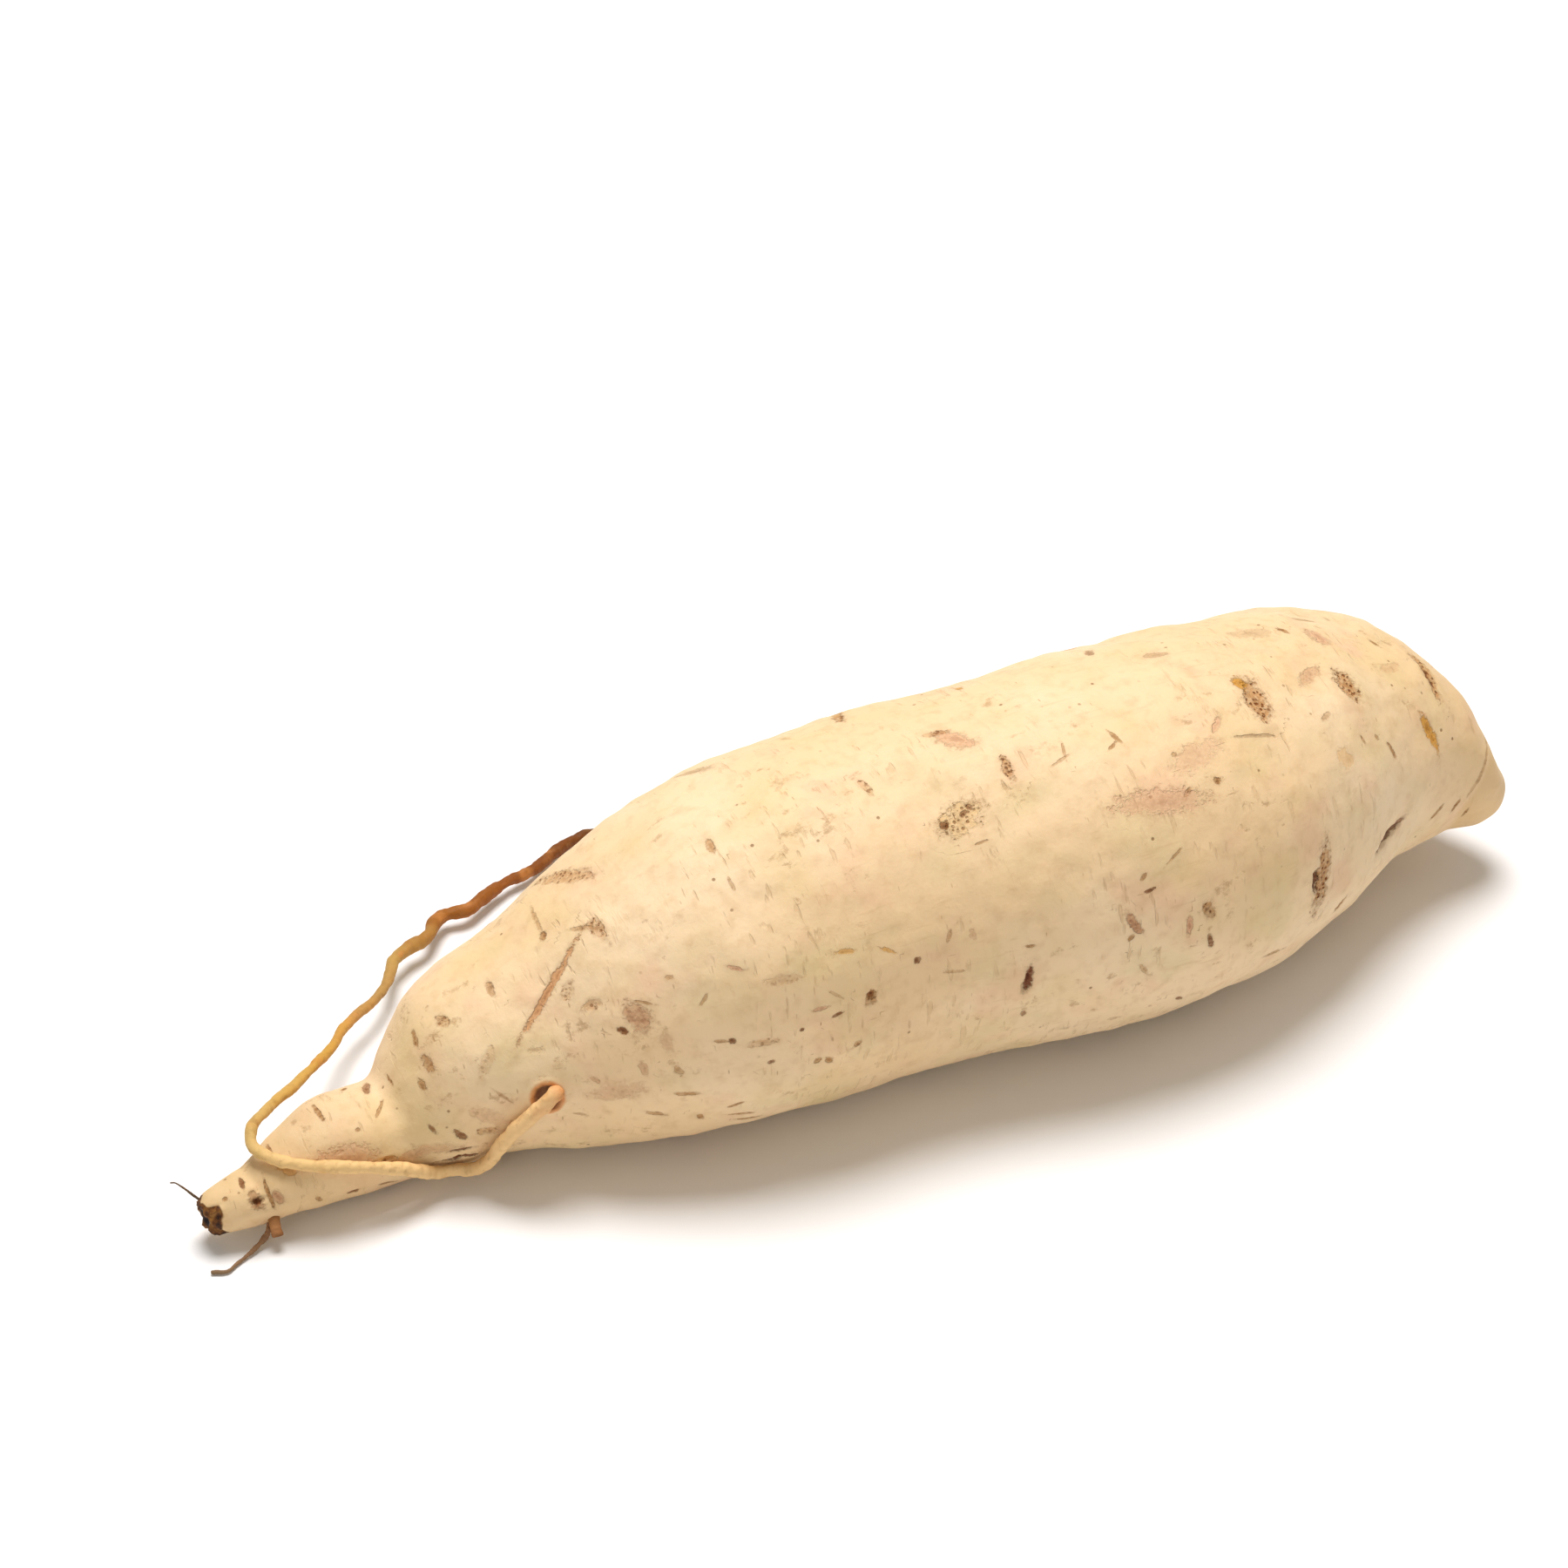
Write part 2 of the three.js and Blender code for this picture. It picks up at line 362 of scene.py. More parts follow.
# Marks on the skin: kind, place along X, turn from +Y over the top, half length, half width, lean, strength.
# Turns near 140 degrees face forward and up, 90 is the crown and 270 the belly.
MARKS = [
    ("cork", -50.0, 69, 6.7, 1.3, 59, 0.7),
    ("tick", -56.7, 80, 3.0, 0.4, -80, 0.5),
    ("tick", -57.2, 92, 0.8, 0.7, -77, 0.9),
    ("tick", -52.4, 102, 2.2, 0.4, 39, 0.5),
    ("cork", -50.8, 107, 2.4, 1.0, 83, 0.8),
    ("tick", -66.5, 102, 1.5, 0.6, -86, 0.7),
    ("cork", -74.2, 103, 1.2, 0.9, 75, 0.6),
    ("tick", -78.2, 98, 1.5, 0.5, -81, 0.9),
    ("tick", -78.0, 119, 1.4, 0.9, 87, 0.8),
    ("tick", -79.6, 126, 1.3, 0.6, 70, 0.8),
    ("tick", -82.9, 88, 1.5, 0.3, -89, 0.8),
    ("tick", -85.8, 108, 1.8, 0.3, -51, 0.7),
    ("dark", -85.7, 70, 1.7, 0.6, -74, 0.8),
    ("dark", -79.9, 167, 1.1, 0.4, 61, 0.8),
    ("dark", -75.8, 186, 1.4, 0.6, 46, 0.9),
    ("cork", -71.8, 189, 1.8, 0.8, -10, 0.6),
    ("crack", -75.9, 214, 3.3, 0.55, -13, 1.0),
    ("crack", -75.7, 203, 2.1, 0.35, -15, 0.9),
    ("cork", -86.8, 167, 1.3, 0.5, 16, 0.8),
    ("cork", -57.8, 123, 1.7, 1.0, -49, 0.45),
    ("cork", -55.3, 134, 1.7, 0.9, -2, 0.6),
    ("plum", -49.8, 147, 2.6, 1.9, 55, 0.75),
    ("dark", -52.5, 149, 1.0, 0.6, 36, 1.0),
    ("tick", -48.6, 142, 1.6, 0.25, 23, 0.7),
    ("plum", -50.6, 168, 1.3, 0.6, 74, 0.5),
    ("plum", -56.9, 168, 0.9, 0.5, 37, 0.5),
    ("plum", -53.9, 177, 4.6, 1.4, -12, 0.4),
    ("plum", -47.0, 160, 1.4, 1.0, 80, 0.35),
    ("tick", -45.8, 174, 1.1, 0.6, 52, 0.7),
    ("tick", -42.4, 204, 0.8, 0.5, 66, 0.9),
    ("tick", -59.1, 187, 1.1, 0.25, 14, 0.5),
    ("tick", -69.7, 163, 1.8, 0.25, 44, 0.5),
    ("cork", -32.1, 101, 1.6, 0.6, -83, 0.8),
    ("tick", -44.4, 138, 0.7, 0.35, 16, 0.5),
    ("tick", -40.9, 149, 1.1, 0.3, -47, 0.6),
    ("tick", -32.2, 117, 1.4, 0.3, 87, 0.5),
    ("cork", -6.7, 104, 1.8, 0.6, 80, 0.7),
    ("pink", 10.5, 93, 3.2, 1.9, 49, 0.8),
    ("cork", 8.6, 89, 2.3, 0.6, 5, 0.55),
    ("cork", 14.5, 110, 2.4, 0.8, -87, 0.85),
    ("spray", 4.5, 122, 4.0, 2.5, -11, 0.9),
    ("dark", 1.9, 124, 0.7, 0.6, 59, 0.9),
    ("dark", 6.5, 119, 0.5, 0.5, 72, 0.8),
    ("dark", 5.2, 121, 0.7, 0.4, -20, 0.7),
    ("tick", 5.8, 131, 1.1, 0.25, -1, 0.6),
    ("amber", -12.5, 155, 1.7, 0.35, 33, 0.7),
    ("dark", -8.2, 162, 0.6, 0.5, 70, 0.9),
    ("tick", -2.5, 157, 0.9, 0.4, -66, 0.5),
    ("plum", 0.8, 159, 1.1, 0.5, 77, 0.4),
    ("cork", -16.7, 170, 1.5, 1.0, -73, 0.8),
    ("dark", -16.1, 168, 0.9, 0.6, 63, 0.9),
    ("dark", -21.9, 171, 0.9, 0.3, -17, 0.9),
    ("pink", -24.5, 167, 1.4, 0.4, -2, 0.9),
    ("tick", -22.0, 163, 1.4, 0.25, 41, 0.5),
    ("dark", -27.4, 173, 0.35, 0.3, 0, 0.9),
    ("dark", -32.5, 182, 0.6, 0.35, 6, 0.7),
    ("tick", -39.8, 167, 1.2, 0.3, 10, 0.7),
    ("dark", -37.9, 168, 0.6, 0.5, 30, 0.9),
    ("tick", -25.3, 187, 0.7, 0.5, -28, 0.9),
    ("tick", -23.1, 189, 1.0, 0.6, 52, 0.9),
    ("tick", -19.0, 185, 0.6, 0.5, -31, 0.6),
    ("tick", -37.5, 198, 1.2, 0.35, -29, 0.8),
    ("pink", -35.7, 144, 1.3, 0.35, 26, 0.9),
    ("tick", -34.3, 213, 2.2, 0.4, 9, 0.8),
    ("crack", 9.0, 179, 2.4, 0.7, -80, 1.0),
    ("dark", 9.4, 194, 0.7, 0.5, 60, 0.7),
    ("tick", 9.9, 166, 0.9, 0.25, 8, 0.7),
    ("tick", 22.9, 111, 1.8, 0.3, -15, 0.5),
    ("tick", 24.0, 109, 1.5, 0.25, -74, 0.6),
    ("tick", 32.7, 109, 1.7, 0.35, 76, 0.8),
    ("tick", 31.9, 112, 1.2, 0.35, -31, 0.8),
    ("grey", 49.5, 80, 2.0, 0.8, 16, 0.8),
    ("grey", 69.5, 79, 3.2, 1.7, 14, 0.5),
    ("tick", 75.2, 84, 1.1, 0.6, 62, 0.9),
    ("pink", 80.5, 91, 2.4, 1.7, 72, 0.8),
    ("grey", 82.6, 77, 2.4, 0.5, 1, 0.8),
    ("cork", 59.7, 111, 4.4, 2.1, -81, 1.0),
    ("amber", 58.4, 104, 1.5, 1.3, -81, 1.0),
    ("plum", 72.7, 109, 2.9, 1.2, -28, 0.55),
    ("cork", 78.5, 117, 3.0, 2.0, 76, 1.0),
    ("grey", 55.3, 123, 3.4, 0.3, 11, 0.9),
    ("tick", 70.8, 125, 1.3, 0.5, -23, 0.45),
    ("pink", 49.8, 116, 1.6, 0.6, -42, 0.8),
    ("tick", 40.6, 121, 0.6, 0.4, -30, 0.6),
    ("pink", 43.5, 124, 5.0, 2.2, -12, 0.4),
    ("pink", 35.0, 133, 8.0, 2.0, 12, 0.6),
    ("tick", 45.6, 133, 0.7, 0.6, -87, 0.8),
    ("tick", 39.5, 132, 1.0, 0.4, -36, 0.8),
    ("tick", 34.2, 149, 2.2, 0.25, -30, 0.6),
    ("dark", 29.0, 157, 0.9, 0.3, -5, 0.9),
    ("tick", 28.3, 152, 0.7, 0.35, -38, 0.8),
    ("plum", 26.2, 167, 2.4, 0.7, 59, 0.95),
    ("tick", 25.2, 171, 0.6, 0.5, -43, 0.9),
    ("cork", 38.8, 170, 1.6, 1.0, 68, 0.9),
    ("dark", 39.1, 180, 1.5, 0.5, 78, 0.95),
    ("pink", 35.6, 172, 1.8, 0.5, -88, 1.0),
    ("tick", 28.0, 185, 1.6, 0.4, 58, 0.5),
    ("dark", 35.9, 204, 0.9, 0.5, 53, 0.8),
    ("tick", 53.5, 199, 2.2, 0.4, 18, 0.7),
    ("cork", 62.6, 175, 6.4, 1.6, -82, 1.0),
    ("crack", 60.6, 175, 2.2, 0.9, -85, 1.0),
    ("tick", 68.3, 193, 1.7, 0.5, -48, 0.9),
    ("cork", 99.4, 115, 5.0, 1.1, -88, 0.9),
    ("crack", 98.6, 116, 1.8, 0.6, 85, 0.8),
    ("amber", 94.4, 147, 3.8, 0.95, 70, 1.0),
    ("tick", 83.6, 146, 1.6, 0.5, 62, 0.9),
    ("tick", 77.2, 138, 0.8, 0.3, 68, 0.7),
    ("tick", 80.4, 139, 0.5, 0.3, 57, 0.6),
    ("tick", 92.7, 94, 1.1, 0.4, 58, 0.8),
    ("plum", 91.2, 113, 2.4, 1.0, -17, 0.35),
    ("amber", 71.3, 141, 2.2, 1.5, 48, 0.3),
    ("crack", 81.7, 182, 4.6, 0.7, -15, 0.8),
    ("tick", 95.4, 190, 1.6, 0.4, -29, 0.9),
    ("tick", 100.1, 194, 1.4, 0.4, -48, 0.9),
    ("tick", 103.0, 202, 1.0, 0.4, -71, 0.9),
    ("tick", -94.5, 89, 2.2, 0.4, 85, 0.9),
    ("tick", -102.9, 80, 1.7, 0.35, -85, 0.7),
    ("dark", -108.6, 100, 1.2, 0.35, -84, 0.9),
    ("crack", -107.7, 150, 0.8, 0.65, 53, 1.0),
    ("tick", -111.7, 118, 0.4, 0.35, 0, 0.8),
    ("tick", -90.5, 124, 0.4, 0.35, 0, 0.6),
    ("tick", -98.3, 196, 0.8, 0.35, 58, 0.7),
    ("dark", -93.1, 203, 1.1, 0.4, 0, 0.9),
    ("dark", -87.2, 207, 1.6, 0.4, 25, 0.7),
    ("tick", -94.0, 141, 0.8, 0.35, 0, 0.5),
    ("tick", -105.6, 146, 2.4, 0.35, 80, 0.9),
    ("tick", 105.8, 163, 5.5, 0.35, -54, 0.5),
    ("plum", -104.6, 158, 1.2, 0.8, 70, 0.8),
    ("dark", -107.5, 147, 1.6, 1.1, 70, 0.6),
    ("plum", -81.5, 186, 5.5, 1.2, -6, 0.45),
    ("pink", -93.0, 150, 4.5, 2.0, 10, 0.5),
    ("plum", -72.0, 176, 3.5, 1.4, 25, 0.30),
    ("cork", -70.5, 140, 2.6, 0.9, -60, 0.30),
    ("tick", -44.5, 186, 1.9, 0.4, 4, 0.8),
    ("tick", -36.0, 208, 2.2, 0.4, 2, 0.8),
    ("tick", -49.0, 196, 1.6, 0.5, 20, 0.7),
    ("amber", -19.5, 151, 1.8, 0.4, 10, 0.6),
    ("cork", -29.5, 152, 2.6, 0.8, 8, 0.35),
    ("tick", -2.8, 170, 1.5, 0.35, 12, 0.5),
    ("cork", -34.0, 172, 2.2, 0.7, 0, 0.5),
    ("amber", -102.2, 128, 1.6, 0.8, 30, 0.5),
]

# A long scrape down the front of the shoulder, from the crown side to the front.
SCRAPE = ("scrape", -59.4, 118, 9.3, 0.62, -32, 1.0)

# Each kind of mark: colour, how dotted it is, how deep it sinks and how high its lips stand, millimetres.
KINDS = {
    "cork": ((0.52, 0.22, 0.050), 1.0, 0.26, 0.12),
    "spray": ((0.80, 0.54, 0.25), 1.0, 0.0, 0.0),
    "dark": ((0.25, 0.080, 0.016), 0.25, 0.26, 0.08),
    "crack": ((0.18, 0.036, 0.007), 0.15, 0.85, 0.22),
    "tick": ((0.45, 0.21, 0.060), 0.45, 0.14, 0.04),
    "plum": ((0.60, 0.31, 0.16), 0.35, 0.08, 0.04),
    "pink": ((0.78, 0.46, 0.27), 0.12, 0.0, 0.05),
    "grey": ((0.60, 0.41, 0.22), 0.1, 0.06, 0.0),
    "amber": ((0.74, 0.36, 0.050), 0.15, 0.16, 0.05),
    "scrape": ((0.72, 0.38, 0.17), 0.10, 0.34, 0.20),
}

HIDDEN_MARKS = 74  # scattered over the back and the belly
HIDDEN_TURNS = (222, 425)
WINDOW = 2.0  # millimetres round a mark over which its own coordinates reach


def scattered_marks():
    rng = np.random.default_rng(41)
    kinds = ["tick"] * 8 + ["cork"] * 4 + ["dark"] * 4 + ["plum"] * 2 + ["pink"] * 2 + ["crack", "amber", "grey"]
    marks = []
    for _ in range(HIDDEN_MARKS):
        kind = kinds[rng.integers(len(kinds))]
        size = {"cork": 2.6, "plum": 2.8, "pink": 3.2, "grey": 2.4, "crack": 1.9}.get(kind, 1.1)
        length = size * rng.uniform(0.6, 1.5)
        width = length * rng.uniform(0.25, 0.55)
        lean = rng.normal(85, 25)
        strength = rng.uniform(0.6, 1.0)
        marks.append((kind, rng.uniform(-100, 104), rng.uniform(*HIDDEN_TURNS) % 360, length, width, lean, strength))
    return marks


def layered(marks):
    """The marks parted into layers, in each of which none comes within reach of another."""
    layers = []
    for mark in marks:
        place = skin.spot(mark[1], mark[2])[0]
        reach = mark[3] + WINDOW
        for layer in layers:
            if all(np.linalg.norm(place - other) > reach + far for other, far, _ in layer):
                layer.append((place, reach, mark))
                break
        else:
            layers.append([(place, reach, mark)])
    return [[mark for _, _, mark in layer] for layer in layers]


class Mark:
    """One mark's own coordinates over the skin, 1 at its edge, and where they hold."""

    def __init__(self, mark):
        kind, x, turn, length, width, lean, self.strength = mark
        self.colour, self.dotted, self.sink, self.lip = KINDS[kind]
        along, across, off = skin.local(x, turn, lean)
        self.along, self.across = along / length, across / width
        self.edge = np.hypot(self.along, self.across)
        reach = np.hypot(along / (length + WINDOW), across / (width + WINDOW))
        self.window = eased(reach, 1.25, 0.95) * (np.abs(off) < length + WINDOW)
        self.blunt = min(1.0, width / 0.8)

    def relief(self, grain):
        edge = self.edge + 0.22 * grain
        hollow = eased(edge, 1.15, 0.35) * self.sink * self.strength * self.blunt
        lip = np.exp(-(((edge - 1.35) / 0.3) ** 2)) * self.lip * self.strength
        return (lip - hollow) * self.window


def colour_marks(piece, layers):
    for index, marks in enumerate(layers):
        coordinates = np.zeros((ROWS, SIDES, 3))
        coordinates[..., :2] = 9.0
        tones = np.zeros((ROWS, SIDES, 4))
        for mark in marks:
            near = mark.window > 0
            coordinates[near] = np.stack([mark.along, mark.across, mark.window * mark.strength], -1)[near]
            tones[near] = (*mark.colour, mark.dotted)
        store(piece, f"mark_{index}", "FLOAT_VECTOR", coordinates)
        store(piece, f"tone_{index}", "FLOAT_COLOR", tones)


# ---- shaping the tuber ------------------------------------------------------------------------------------
def dent(x, turn, length, width, lean, depth):
    """A smooth hollow, or a swelling where depth is negative, as a height over the skin."""
    along, across, off = skin.local(x, turn, lean)
    fall = np.exp(-((along / length) ** 2) - (across / width) ** 2)
    return -depth * fall * (np.abs(off) < 2 * max(length, width))


def shape_body():
    """Slow unevenness of a grown root, and the swells and hollows that its outline has."""
    skin.push(
        0.30 * ripple(skin.points, 42, 3)
        + 0.24 * ripple(skin.points, 15, 4, (1.6, 1, 1))
        + 0.10 * ripple(skin.points, 8, 11)
        + 0.060 * ripple(skin.points, 4.5, 5)
    )
    skin.push(
        dent(-84.5, 75, 2.2, 9.0, 0, 0.9)  # fold between the neck and the body
        + dent(-84.0, 150, 3.5, 6.0, 0, 0.4)
        + dent(-106.3, 140, 0.9, 5.0, -25, 0.45)  # ring round the neck's knuckle
        + dent(-103.5, 150, 2.6, 3.0, 0, -0.35)
        + dent(-109.5, 150, 2.2, 2.6, 0, -0.25)
        + dent(80.5, 182, 5.0, 1.5, -15, 0.9)  # fold under the nose
        + dent(84.0, 196, 5.0, 3.0, -15, -0.5)
        + dent(96.0, 200, 5.0, 4.0, -20, -0.4)
        + dent(72.7, 108, 4.0, 2.4, -28, 0.45)
        + dent(38.8, 169, 2.2, 1.6, 68, 0.5)
        + dent(-16.5, 169, 2.4, 1.8, -73, 0.45)
        + dent(94.7, 92, 9.0, 10.0, 0, 1.1)  # from here on: fullness of the outline
        + dent(98.0, 224, 6.0, 7.0, 0, -1.1)
        + dent(106.0, 112, 4.0, 7.0, 0, -0.6)
        + dent(109.2, 197, 3.5, 5.0, 0, 0.8)
        + dent(-67.0, 235, 8.0, 8.0, 0, 0.6)
        + dent(26.0, 228, 16.0, 9.0, 0, -0.6)
        + dent(-78.0, 232, 5.0, 5.0, 0, -0.5)
        + dent(-102.4, 35, 3.0, 3.0, 0, -0.4)
    )


def shape_root_socket():
    """The sunken ring that the side root grows out of."""
    along, across, off = skin.local(*SOCKET, 0)
    reach = np.hypot(along, across)
    near = np.abs(off) < 6
    lip = 0.45 * np.exp(-(((reach - 2.6) / 0.6) ** 2))
    skin.push((lip - 1.3 * eased(reach, 2.3, 1.0)) * near)


def shape_broken_end():
    """The neck's end: a torn face with a hollow in it, which is darkened later by painted shade, and knobs on its
    rim.
    """
    low_side = eased(np.cos(turns - math.radians(200)), -0.4, 0.8)
    ragged_line = 0.5 * ripple(skin.points, 2.2, 10)
    depth = eased(skin.points[..., 0] + ragged_line - 2.2 * low_side, -114.2, -115.4)
    knobs = ripple(skin.points, 1.5, 8) * 0.22 + ripple(skin.points, 0.8, 9) * 0.10
    skin.push(knobs * depth)
    x, y, z = np.moveaxis(skin.points, -1, 0)
    off_middle = np.hypot(y - TORN_MIDDLE[0], z - TORN_MIDDLE[1])
    hollow = eased(off_middle, 2.3, 0.9) * eased(x, -114.0, -115.4)
    skin.points[..., 0] += 1.1 * hollow
    skin.refresh()
    return depth, hollow


SOCKET = (-63.4, 171.5)
TORN_MIDDLE = (1.6, 5.6)

shape_body()
layers = [[Mark(mark) for mark in marks] for marks in layered([SCRAPE] + MARKS + scattered_marks())]
grain = ripple(skin.points, 1.6, 6) + 0.6 * ripple(skin.points, 0.9, 7)
skin.push(sum(mark.relief(grain) for marks in layers for mark in marks))
shape_root_socket()
torn, torn_hollow_shade = shape_broken_end()
skin.points[..., 2] = np.maximum(skin.points[..., 2], 0)

tuber = ringed_mesh("tuber_skin", skin.points, skin.points[0].mean(0), skin.points[-1].mean(0))
colour_marks(tuber, layers)


def store_weather_and_shade():
    """Where the skin is torn, where it is warmer in colour, where the root's socket reddens it, and where painted
    shade darkens the torn end's hollow.
    """
    x = skin.points[..., 0]
    along, across, off = skin.local(*SOCKET, 0)
    socket = eased(np.hypot(along, across * 0.9), 3.6, 1.2) * (np.abs(off) < 6)
    _, beyond, near_cap = skin.local(105.8, 163, -54)
    cap = eased(-beyond, -0.2, 1.4) * eased(x, 99, 103) * (np.abs(near_cap) < 16)
    ends = np.maximum(0.8 * eased(x, -70, -104), np.maximum(0.5 * eased(x, 90, 108), cap))
    values = np.stack([torn, ends, socket, torn_hollow_shade], -1)
    store(tuber, "weather_and_shade", "FLOAT_COLOR", values)


store_weather_and_shade()

# ---- the thin roots ---------------------------------------------------------------------------------------
# Centre line of the side root: out of its socket, along the neck, over it and back past the tuber.
SIDE_ROOT_PATH = [
    (-61.8, -11.6, 20.1), (-63.1, -13.5, 21.2), (-66.1, -12.3, 17.8), (-68.8, -10.9, 14.2), (-70.8, -9.6, 10.6),
    (-72.2, -7.9, 6.7), (-74.2, -5.9, 4.4), (-76.9, -5.3, 5.0), (-79.6, -4.8, 5.2), (-82.6, -5.4, 7.2),
    (-86.0, -5.6, 9.5), (-89.6, -5.5, 11.0), (-93.5, -5.1, 12.5), (-97.2, -4.0, 13.3), (-100.7, -2.0, 13.7),
    (-103.2, 0.1, 13.9), (-104.7, 2.4, 14.0), (-105.2, 5.2, 14.0), (-103.8, 8.2, 14.3), (-100.9, 11.0, 13.5), (-97.6, 14.2, 12.2),
    (-94.2, 17.0, 11.0), (-91.0, 20.0, 10.0), (-87.5, 23.0, 9.0), (-84.4, 26.0, 8.0),
    (-80.9, 30.3, 7.0), (-77.1, 33.5, 6.2), (-73.6, 35.9, 5.6), (-70.4, 38.8, 5.2),
    (-68.0, 42.0, 5.0), (-66.1, 45.0, 4.6), (-62.4, 47.3, 4.1), (-58.9, 48.7, 3.9),
    (-56.2, 51.8, 3.5), (-53.4, 53.5, 3.1), (-49.7, 53.2, 3.0), (-45.5, 55.4, 2.8),
    (-40.6, 57.4, 2.5), (-35.4, 58.7, 2.1), (-30.8, 61.3, 1.9), (-26.8, 63.2, 1.7),
    (-22.0, 64.2, 1.5), (-17.0, 63.0, 1.4), (-12.4, 63.6, 1.2), (-7.6, 66.0, 1.1),
    (-2.6, 66.4, 1.0), (2.0, 64.6, 0.9), (6.8, 64.4, 0.8), (11.0, 66.2, 0.7),
]
SIDE_ROOT_HALF = [
    (0, 1.2), (3, 1.2), (8, 1.22), (14, 1.1), (55, 1.05), (68, 0.88), (80, 0.8), (128, 0.84), (148, 1.1),
    (176, 1.05), (200, 0.9), (235, 0.3),
]

ROOTLET_PATH = [
    (-105.9, -1.7, 3.9), (-106.3, -2.6, 2.9), (-107.3, -2.9, 1.7), (-109.2, -3.6, 0.9),
    (-110.8, -4.2, 0.6), (-112.5, -4.9, 0.5), (-114.3, -5.7, 0.5), (-116.6, -4.8, 0.5),
]
ROOTLET_HALF = [(0, 0.42), (2.6, 0.5), (3.6, 0.55), (4.6, 0.36), (8, 0.3), (12, 0.26), (13.6, 0.32), (14.2, 0.3)]

STUB_PATH = [(-105.2, -1.9, 5.2), (-105.4, -2.9, 4.3), (-105.5, -3.7, 3.5), (-105.6, -4.5, 2.7)]
STUB_HALF = [(0, 0.95), (1.6, 0.85), (2.6, 0.78), (3.4, 0.85), (3.8, 0.8)]

HAIR_PATH = [
    (-114.9, 2.9, 8.3), (-115.6, 3.5, 9.0), (-116.2, 4.2, 9.6), (-116.8, 5.0, 10.0), (-117.4, 5.8, 10.3),
    (-118.1, 6.2, 10.3),
]
HAIR_HALF = [(0, 0.22), (2, 0.16), (5, 0.11)]


def smooth_line(path, step):
    """Points at even steps on a smooth curve through a path's points, and how far along each lies."""
    path = np.array(path, float)
    ends = [2 * path[0] - path[1], 2 * path[-1] - path[-2]]
    padded = np.concatenate([[ends[0]], path, [ends[1]]])
    share = np.linspace(0, 1, 24, endpoint=False)[:, None]
    pieces = []
    for a, b, c, d in zip(padded, padded[1:], padded[2:], padded[3:]):
        bend = (2 * a - 5 * b + 4 * c - d) * share**2 + (3 * b - a - 3 * c + d) * share**3
        pieces.append(b + 0.5 * ((c - a) * share + bend))
    line = np.concatenate(pieces + [path[-1:]])
    walked = np.concatenate([[0], np.cumsum(np.linalg.norm(np.diff(line, axis=0), axis=1))])
    count = max(int(walked[-1] / step), 4)
    along = np.linspace(0, walked[-1], count + 1)
    return np.stack([np.interp(along, walked, line[:, axis]) for axis in range(3)], -1), along


def thin_root(name, path, halves, step, sides, lumps, seed):
    """A lumpy root along a path. lumps is how uneven its girth is, as a share of its half width."""
    centres, along = smooth_line(path, step)
    ways = np.gradient(centres, axis=0)
    ways /= np.linalg.norm(ways, axis=1, keepdims=True)
    across = np.cross(ways[0], [0.3, 0.2, 1.0])
    frames = []
    for way in ways:
        across = across - way * (across @ way)
        across /= np.linalg.norm(across)
        frames.append((across, np.cross(way, across)))
    reach, half = np.array(halves, float).T
    girth = np.interp(along, reach * along[-1] / reach[-1], half)
    girth[0], girth[-1] = 0.75 * girth[0], 0.7 * girth[-1]
    turns_round = np.arange(sides) * TURN / sides
    first, second = (np.array([frame_[k] for frame_ in frames])[:, None] for k in (0, 1))
    outward = first * np.cos(turns_round)[None, :, None] + second * np.sin(turns_round)[None, :, None]
    rings = centres[:, None] + outward * girth[:, None, None]
    swell = ripple(rings, 9 * half.mean(), seed) + 0.7 * ripple(rings, 3.2 * half.mean(), seed + 1)
    knots = 0.5 * ripple(rings, 1.3 * half.mean(), seed + 2)
    rings += outward * (girth[:, None] * lumps * (swell + knots))[..., None]
    piece = ringed_mesh(name, rings, rings[0].mean(0), rings[-1].mean(0))
    share = np.broadcast_to((along / along[-1])[:, None], rings.shape[:2])
    store(piece, "along", "FLOAT_VECTOR", np.stack([share, along[:, None] + 0 * share, 0 * share], -1))
    return piece


side_root = thin_root(
    "side_root_skin", SIDE_ROOT_PATH, SIDE_ROOT_HALF, 0.3, 28, 0.10, 21
)
rootlet = thin_root("rootlet_skin", ROOTLET_PATH, ROOTLET_HALF, 0.12, 14, 0.12, 31)
root_stub = thin_root("root_stub_skin", STUB_PATH, STUB_HALF, 0.12, 22, 0.10, 51)
neck_hair = thin_root("neck_hair_skin", HAIR_PATH, HAIR_HALF, 0.1, 10, 0.10, 61)


# ---- finishes ---------------------------------------------------------------------------------------------
CREAM = (0.86, 0.62, 0.355)
PALE = (0.90, 0.69, 0.44)
STRAW = (0.76, 0.56, 0.26)
BLUSH = (0.83, 0.53, 0.33)
SHADE_TAN = (0.56, 0.34, 0.15)
OLIVE = (0.70, 0.58, 0.30)
END_TAN = (0.68, 0.44, 0.19)


